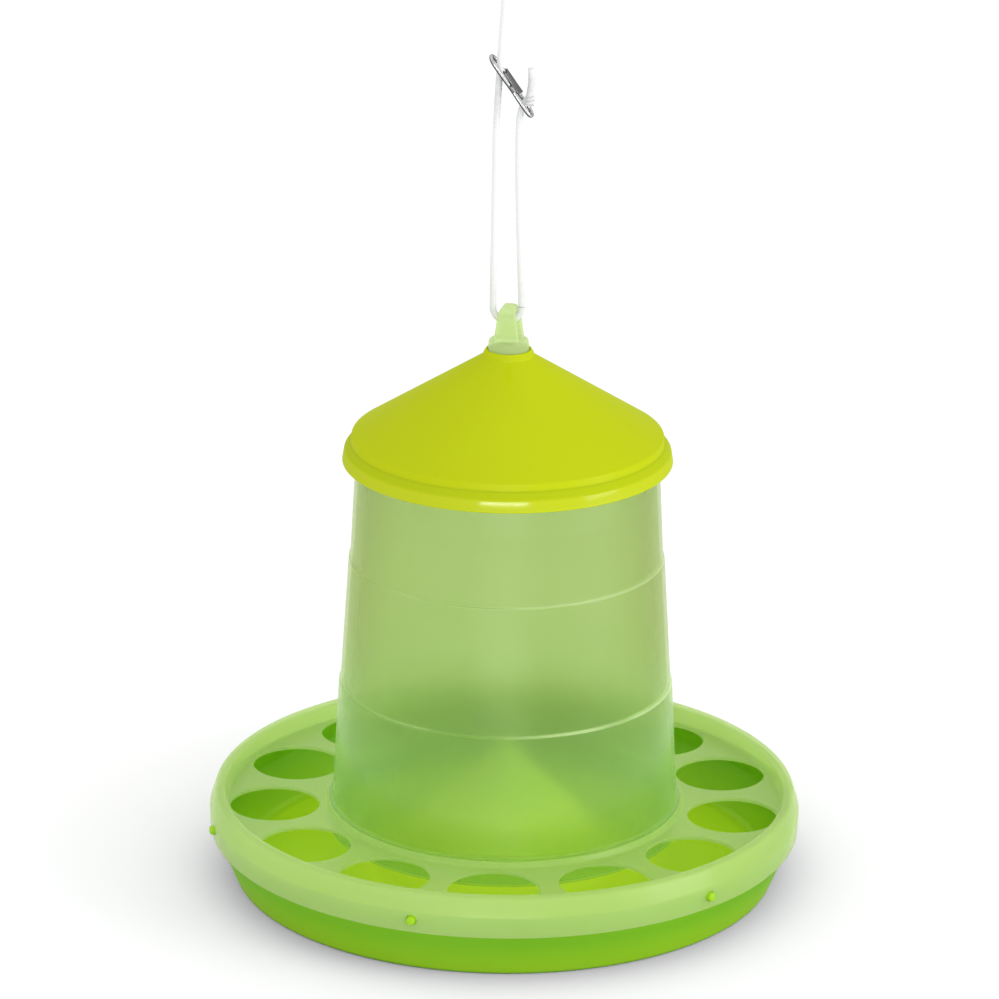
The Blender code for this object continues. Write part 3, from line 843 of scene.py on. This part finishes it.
def make_lugs():
    """Round-nosed pegs on the tray's rim."""
    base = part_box("tray")[1].x - LUG_INSET
    long = LUG_REACH - base
    for i in range(LUGS):
        name = f"tray_lug_{i + 1}"
        low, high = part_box(name)
        radius = (high.z - low.z) / 2
        corners = [
            (0, 0, 0),
            (radius + 0.9 * MM, 0, 0),
            (radius, 1.2 * MM, 1 * MM),
            (radius, long, 2 * MM),
            (0, long, 0),
        ]
        lug = spun(f"rim_lug_{i + 1}", rounded(corners, steps=6), LUG_PLASTIC, 32)
        centre, out, turn = outward(name)
        spot = out * base + Vector((0, 0, centre.z))
        lug.matrix_world = Matrix.Translation(spot) @ turn
        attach(lug, "base")
        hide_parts(name)


# ---------------------------------------------------------------- feeding ring

HOLES = 13
HOLE_R = 25.7 * MM
HOLE_PITCH_R = 132.5 * MM
HOLE_TURN = math.radians(-2.6)
HOLE_EDGE = 0.5 * MM
PLATE_IN_R = 105.4 * MM
PLATE_OUT_R = 158.75 * MM
PLATE_Z = 41 * MM
RING_WALL = 2 * MM
LIP_R = 163.8 * MM
COLLAR_R = 100.4 * MM
COLLAR_TOP = 44.2 * MM
COLLAR_FOOT = 31 * MM
WINDOW_R = 3.2
WINDOW_DEPTH = 16
WINDOW_INSET = 0.5 * MM
ARC_STEPS = 28
RADIAL_STEPS = 20
EDGE_STEPS = 4
RING_SEGMENTS = HOLES * ARC_STEPS
RING_START = HOLE_TURN - math.radians(90) - math.pi / HOLES


def sector_edge(hole):
    """Points (x, y) round one hole's share of the plate, from one corner."""
    radii = np.linspace(PLATE_IN_R, PLATE_OUT_R, RADIAL_STEPS + 1)
    steps = range(ARC_STEPS + 1)
    edge = [(0, r) for r in radii[:-1]]
    edge += [(k, PLATE_OUT_R) for k in steps[:-1]]
    edge += [(ARC_STEPS, r) for r in radii[:0:-1]]
    edge += [(k, PLATE_IN_R) for k in steps[:0:-1]]
    first = hole * ARC_STEPS
    turns = [RING_START + math.tau * (first + k) / RING_SEGMENTS for k, r in edge]
    return [(r * math.cos(a), r * math.sin(a)) for a, (k, r) in zip(turns, edge)]


def hole_grid(hole):
    """One hole's share of the plate: loops of points from the share's edge to the hole, and back below."""
    middle = RING_START + math.tau * (hole + 0.5) / HOLES
    centre = Vector((HOLE_PITCH_R * math.cos(middle), HOLE_PITCH_R * math.sin(middle)))
    ways = [Vector(point) - centre for point in sector_edge(hole)]
    near = HOLE_R + HOLE_EDGE
    loops = []
    for share in (0, 0.3, 0.6, 0.85):
        spots = [centre + way.normalized() * (way.length + (near - way.length) * share) for way in ways]
        loops.append([(*spot, PLATE_Z) for spot in spots])
    for k in range(EDGE_STEPS + 1):
        a = math.radians(90) * k / EDGE_STEPS
        reach = HOLE_R + HOLE_EDGE * (1 - math.sin(a))
        drop = HOLE_EDGE * (1 - math.cos(a))
        loops.append([(*(centre + way.normalized() * reach), PLATE_Z - drop) for way in ways])
    top_and_bottom = 2 * PLATE_Z - RING_WALL
    loops += [[(x, y, top_and_bottom - z) for x, y, z in loop] for loop in reversed(loops)]
    return [point for loop in loops for point in loop], sheet(len(loops), len(ways), wrap=True)


def make_ring():
    low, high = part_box("feeding_ring")
    ring_r, lip_z, skirt_z = high.x, high.z, low.z
    under = PLATE_Z - RING_WALL
    outer = [
        (PLATE_OUT_R, PLATE_Z, 0),
        (LIP_R - 4.7 * MM, PLATE_Z, 1.2 * MM),
        (LIP_R - 2.7 * MM, lip_z, 2.6 * MM),
        (LIP_R + 2.5 * MM, lip_z, 2.6 * MM),
        (ring_r, skirt_z + 12 * MM, 5 * MM),
        (ring_r - 0.5 * MM, skirt_z, 0.6 * MM),
        (ring_r - 2.4 * MM, skirt_z, 0.6 * MM),
        (ring_r - RING_WALL, skirt_z + 12 * MM, 4 * MM),
        (LIP_R + 1.0 * MM, lip_z - RING_WALL, 1.2 * MM),
        (LIP_R - 1.0 * MM, lip_z - RING_WALL, 1.2 * MM),
        (LIP_R - 2.9 * MM, under, 1.2 * MM),
        (PLATE_OUT_R, under, 0),
    ]
    inner = [
        (PLATE_IN_R, under, 0),
        (COLLAR_R + RING_WALL, under, 0.6 * MM),
        (COLLAR_R + RING_WALL, COLLAR_FOOT, 0.5 * MM),
        (COLLAR_R, COLLAR_FOOT, 0.5 * MM),
        (COLLAR_R, COLLAR_TOP, 0.4 * MM),
        (COLLAR_R + 1.4 * MM, COLLAR_TOP, 0.6 * MM),
        (COLLAR_R + 2.6 * MM, PLATE_Z, 2.2 * MM),
        (PLATE_IN_R, PLATE_Z, 0),
    ]
    grids = []
    for corners in (outer, inner):
        outline = rounded(corners, closed=False)
        points = turned(outline, RING_SEGMENTS, RING_START)
        grids.append((points, sheet(RING_SEGMENTS + 1, len(outline), wrap=False)))
    grids += [hole_grid(hole) for hole in range(HOLES)]
    verts, faces = [], []
    for points, cells in grids:
        shift = len(verts)
        verts.extend(points)
        faces.extend(tuple(i + shift for i in cell) for cell in cells)
    ring = new_object("ring_shell", verts, faces, RING_PLASTIC, 40)
    half = WINDOW_DEPTH / 2
    window = scaled([(0, -half), (WINDOW_R, -half), (WINDOW_R, half), (0, half)])
    for i in range(LUGS):
        cutter = spun("window", window, None, 48)
        centre, out, turn = outward(f"tray_lug_{i + 1}")
        spot = out * (ring_r - WINDOW_INSET) + Vector((0, 0, centre.z))
        cutter.matrix_world = Matrix.Translation(spot) @ turn
        combine(ring, cutter, "DIFFERENCE")
    shade(ring, 40)
    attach(ring, "hopper_unit")
    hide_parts("feeding_ring")


# ---------------------------------------------------------------- hopper

HOPPER_SEGMENTS = 320
HOPPER_WALL = 2.0
ARMS = 3
ARM_SLOT = (249.4, 253.8)
ARM_SLOT_WIDTH = 12.8 * MM


def arm_place(i):
    return Matrix.Rotation(math.radians(90) + math.tau * i / ARMS, 4, "Z")


def make_hopper():
    """Three drums, each a step wider than the one above. Corners are (radius, height, rounding) in mm."""
    low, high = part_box("hopper")
    bead_r, foot, top = high.x / MM, low.z / MM, high.z / MM
    side = [
        (99.2, 46.1, 0.4),
        (95.4, 115.8, 1.0),
        (94.5, 116.5, 0.8),
        (89.8, 190.6, 1.0),
        (88.9, 191.3, 0.8),
        (86.9, 231, 30),
        (84.7, top, 0.7),
    ]
    corners = [
        (97.9, foot, 0.5),
        (bead_r, foot, 0.6),
        (bead_r, foot + 1.6, 0.3),
        (99.85, foot + 1.6, 0.2),
        (99.2, 44.5, 0.2),
        (101.2, 44.5, 0.4),
        (101.2, 45.4, 0.6),
        *side,
        (82.7, top, 0.7),
        *[(r - HOPPER_WALL, z, rounding) for r, z, rounding in reversed(side[1:-1])],
    ]
    hopper = spun("hopper_shell", rounded(scaled(corners)), HOPPER_PLASTIC, HOPPER_SEGMENTS)
    slot_low, slot_high = ARM_SLOT
    slot = scaled([(78, slot_low), (90, slot_low), (90, slot_high), (78, slot_high)])
    for i in range(ARMS):
        combine(hopper, prism("slot_cut", slot, ARM_SLOT_WIDTH, arm_place(i)), "DIFFERENCE")
    shade(hopper, 35)
    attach(hopper, "hopper_unit")
    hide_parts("hopper")


# ---------------------------------------------------------------- lid

LID_SEGMENTS = 320
LID_WALL = 2.0
LID_HOLE_R = 12.0
LID_CONE_R = 87.6
LID_CONE_OVER_RIM = 15.6
LID_NECK = (14.4, 310.0)


def make_lid():
    """A cone over a stepped, rounded rim, with a neck. Corners are (radius, height, rounding) in mm."""
    low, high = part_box("lid")
    rim_r, base, top = high.x / MM, low.z / MM, high.z / MM
    cone_z = base + LID_CONE_OVER_RIM
    neck_r, neck_z = LID_NECK
    fall = (neck_z - cone_z) / (LID_CONE_R - neck_r)
    drop = LID_WALL * math.hypot(1, fall)

    def inside(r, rounding):
        return (r, cone_z + (LID_CONE_R - r) * fall - drop, rounding)

    corners = [
        (rim_r, base, 0.6),
        (rim_r - 1.15, base + 6.7, 1.6),
        (89.6, base + 10.6, 2),
        (88.6, base + 11.2, 0.8),
        (88.3, base + 14.9, 2),
        (LID_CONE_R, cone_z, 2),
        (neck_r + 4.1, neck_z - 4.1 * fall, 1),
        (neck_r, neck_z, 0.8),
        (neck_r - 0.1, neck_z + 1.4, 0.7),
        (LID_HOLE_R + 0.9, top, 0.5),
        (LID_HOLE_R, top, 0.4),
        inside(LID_HOLE_R, 0.4),
        inside(85.3, 2),
        (86.4, base + 10.0, 2),
        (rim_r - LID_WALL - 0.1, base + 4.2, 3),
        (rim_r - LID_WALL, base, 0.7),
    ]
    lid = spun("lid_shell", rounded(scaled(corners), steps=7), LID_PLASTIC, LID_SEGMENTS)
    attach(lid, "lid")
    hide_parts("lid")


# ---------------------------------------------------------------- hanger

BOSS_R = 11.5
BOSS_BORE_R = 8.8
BOSS_TOP = 319.6
BOSS_FOOT = 284
BOSS_CORE_TOP = BOSS_TOP - 14
STRAP = [
    (9.6, 299),
    (70, 260.7),
    (78.5, 253.4),
    (86.6, 253.4),
    (86.6, 249.8),
    (77, 249.8),
    (68.6, 257.6),
    (9.6, 295),
]
STRAP_WIDTH = 12 * MM
RIB = [(9.6, 297), (69.3, 259.2), (76.5, 251.6), (72, 250.4), (9.6, 286)]
RIB_WIDTH = 3 * MM
EYE_TURN = math.radians(-12)
EYE_FOOT_X = 6.9
EYE_CROWN_X = 4.8
EYE_HALF_Y = 9.0
EYE_PAST = 27 * MM
EYE_HOLE_WIDTH = 9 * MM
EYE_HOLE_HALF = 20
VOXEL = 0.45 * MM
QUARTER_TURN = Matrix.Rotation(math.radians(90), 4, "Z")


def make_hanger():
    """The boss and eye over the lid, on three ribbed straps. Points are (x, z) in mm."""
    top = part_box("hanger_bridge")[1].z / MM
    corners = [
        (0, BOSS_TOP, 0),
        (BOSS_R - 0.4, BOSS_TOP, 1.5),
        (BOSS_R, BOSS_TOP - 3.5, 1),
        (BOSS_R, BOSS_FOOT, 0.6),
        (BOSS_BORE_R, BOSS_FOOT, 0.6),
        (BOSS_BORE_R, BOSS_CORE_TOP - 1, 1),
        (0, BOSS_CORE_TOP, 0),
    ]
    hanger = spun("hanger_shell", rounded(scaled(corners)), HANGER_PLASTIC, 96)
    for i in range(ARMS):
        combine(hanger, prism("arm", scaled(STRAP), STRAP_WIDTH, arm_place(i)), "UNION")
        combine(hanger, prism("arm_rib", scaled(RIB), RIB_WIDTH, arm_place(i)), "UNION")
    foot = BOSS_TOP - 3
    shoulder = BOSS_TOP + 1
    front = [
        (-EYE_FOOT_X, foot),
        (EYE_FOOT_X, foot),
        (EYE_FOOT_X, shoulder),
        *arc(0, top - EYE_CROWN_X, EYE_CROWN_X, 0, 180, 24),
        (-EYE_FOOT_X, shoulder),
    ]
    side = [(-EYE_HALF_Y, foot), (EYE_HALF_Y, foot), *arc(0, top - EYE_HALF_Y, EYE_HALF_Y, 0, 180, 32)]
    turn = Matrix.Rotation(EYE_TURN, 4, "Z")
    eye = prism("eye", scaled(front), EYE_PAST, turn)
    combine(eye, prism("eye_side", scaled(side), EYE_PAST, turn @ QUARTER_TURN), "INTERSECT")
    combine(hanger, eye, "UNION")
    bend_z = BEND[1]
    opening = [
        (-EYE_HOLE_HALF, BOSS_TOP + 0.4),
        (EYE_HOLE_HALF, BOSS_TOP + 0.4),
        (EYE_HOLE_HALF, bend_z),
        *arc(*BEND, BEND_R - 2.3, 0, -180, 24),
        (-EYE_HOLE_HALF, bend_z),
    ]
    combine(hanger, prism("eye_cut", scaled(opening), EYE_HOLE_WIDTH, turn), "DIFFERENCE")
    soften = hanger.modifiers.new("remesh", "REMESH")
    soften.mode = "VOXEL"
    soften.voxel_size = VOXEL
    smooth = hanger.modifiers.new("smooth", "SMOOTH")
    smooth.factor = 0.5
    smooth.iterations = 6
    apply_modifiers(hanger)
    shade(hanger)
    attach(hanger, "hopper_unit")
    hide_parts("hanger_bridge")


# ---------------------------------------------------------------- slider

LINK_TOP = Vector((-11.7, 0, 483)) * MM
LINK_BOTTOM = Vector((12.1, 0, 448)) * MM
LINK_TURN = math.radians(9)
LINK_HALF = 4.2 * MM
LINK_STEPS = 20
WIRE_R = 1.1 * MM
WIRE_SIDES = 20
PINCH = 0.16
PINCH_AT = 0.53
PINCH_WIDTH = 0.13
SHEET = 0.8 * MM
SLEEVE_GAP = 0.25 * MM
SLEEVE_BEVEL = 0.12 * MM
X_AND_Y_SWAPPED = Matrix(((0, 1, 0, 0), (1, 0, 0, 0), (0, 0, 1, 0), (0, 0, 0, 1)))
Y_AND_Z_SWAPPED = Matrix(((1, 0, 0, 0), (0, 0, 1, 0), (0, 1, 0, 0), (0, 0, 0, 1)))


def slider_frame():
    """The link's own frame, its origin at the top end, x along it, y to the back, z to its upper side."""
    along = LINK_BOTTOM - LINK_TOP
    axes = Matrix.Identity(3)
    axes.col[0] = along.normalized()
    axes.col[1] = Vector((0, 1, 0))
    axes.col[2] = axes.col[0].cross(axes.col[1])
    turn = Matrix.Rotation(LINK_TURN, 4, "X")
    return Matrix.Translation(LINK_TOP) @ axes.to_4x4() @ turn, along.length


def make_wire(place, length):
    """A closed wire link, pinched in a little at its middle."""
    end = WIRE_R + LINK_HALF
    straight = [end + (length - 2 * end) * k / LINK_STEPS for k in range(1, LINK_STEPS)]
    loop = [
        *arc(length - end, 0, LINK_HALF, -90, 90, LINK_STEPS),
        *[(t, LINK_HALF) for t in reversed(straight)],
        *arc(end, 0, LINK_HALF, 90, 270, LINK_STEPS),
        *[(t, -LINK_HALF) for t in straight],
    ]
    line = []
    for t, w in loop:
        off = (t / length - PINCH_AT) / PINCH_WIDTH
        line.append(place @ Vector((t, w * (1 - PINCH * math.exp(-(off**2))), 0)))

    def radius_at(turn, along):
        return WIRE_R

    wire = swept("slider_wire", line, radius_at, WIRE_SIDES, LINK_STEEL, closed=True)
    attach(wire, "slider")
    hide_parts("adjuster_wire")


def make_sleeve(place, length):
    """A sheet folded over the link's middle: a channel, cut to its plan."""
    inner = WIRE_R + SLEEVE_GAP
    outer = inner + SHEET
    half = LINK_HALF + inner
    edge = half + SHEET
    channel = rounded(
        [
            (-edge, 0.4 * WIRE_R, 0.2 * MM),
            (-half, 0.4 * WIRE_R, 0.2 * MM),
            (-half, inner, 0.8 * MM),
            (half, inner, 0.8 * MM),
            (half, -WIRE_R, 0.2 * MM),
            (edge, -WIRE_R, 0.2 * MM),
            (edge, outer, 1.5 * MM),
            (-edge, outer, 1.5 * MM),
        ]
    )
    sleeve = prism("slider_sleeve", channel, 2 * length, place @ X_AND_Y_SWAPPED, SHEET_STEEL)
    past = 1.5 * edge
    shoulder = half - 2 * WIRE_R
    # Each point is its share of the link's length, and its place across the link.
    plan = [
        (0.47, -past),
        (0.56, -past),
        (0.56, -shoulder),
        (0.61, -shoulder),
        (0.65, 0.2 * half),
        (0.70, past),
        (0.27, past),
        (0.32, 0.3 * half),
        (0.30, -shoulder),
        (0.47, -shoulder),
    ]
    outline = [(share * length, across) for share, across in plan]
    combine(sleeve, prism("sleeve_cut", outline, 4 * edge, place @ Y_AND_Z_SWAPPED), "INTERSECT")
    bevel = sleeve.modifiers.new("bevel", "BEVEL")
    bevel.width = SLEEVE_BEVEL
    bevel.segments = 2
    bevel.limit_method = "ANGLE"
    apply_modifiers(sleeve)
    shade(sleeve, 35)
    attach(sleeve, "slider")
    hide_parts("adjuster_sleeve")


make_tray()
make_lugs()
make_ring()
make_hopper()
make_lid()
make_hanger()
make_wire(*slider_frame())
make_sleeve(*slider_frame())

# ---------------------------------------------------------------- studio

FLOOR_HALF = 12
FLOOR_GAP = 0.2 * MM
WORLD_LIGHT = 1.10
LIGHTS_AIM = Vector((0, 0, 0.15))
KEY_RIGHT = {"place": (1.9, -0.8, 0.6), "size": (1.0, 1.0), "radiance": 4.2}
FRONT_BOX = {"place": (-0.10, -2.7, 0.30), "size": (1.50, 0.065), "radiance": 42.0}
CLEAR_BOUNCES = 48


def make_floor():
    s = Shader("studio_floor")
    tone = s.mix(s.span(s.noise(PAPER_CLOUDS, 2.0), 0.3, 0.7), PAPER, PAPER_PALE)
    material = s.finish(s.add("ShaderNodeBsdfDiffuse", {"Color": tone}).outputs[0])
    size = FLOOR_HALF
    verts = [(-size, -size, 0), (size, -size, 0), (size, size, 0), (-size, size, 0)]
    floor = new_object("floor", verts, [(0, 1, 2, 3)], material)
    floor.location.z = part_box("tray")[0].z - FLOOR_GAP


def area_light(name, place, size, radiance):
    """A soft box that faces the feeder, of the given radiance."""
    data = bpy.data.lights.new(name, "AREA")
    data.shape = "RECTANGLE"
    data.size, data.size_y = size
    data.energy = radiance * math.pi * size[0] * size[1]
    light = bpy.data.objects.new(name, data)
    bpy.context.scene.collection.objects.link(light)
    light.location = place
    light.rotation_euler = (LIGHTS_AIM - Vector(place)).to_track_quat("-Z", "Y").to_euler()


def make_lights():
    world = bpy.data.worlds.new("studio")
    world.use_nodes = True
    back = world.node_tree.nodes["Background"]
    back.inputs["Color"].default_value = WHITE
    back.inputs["Strength"].default_value = WORLD_LIGHT
    bpy.context.scene.world = world
    area_light("key_right", **KEY_RIGHT)
    area_light("front_box", **FRONT_BOX)
    bpy.context.scene.view_settings.view_transform = "Standard"
    bpy.context.scene.cycles.transparent_max_bounces = CLEAR_BOUNCES


make_floor()
make_lights()
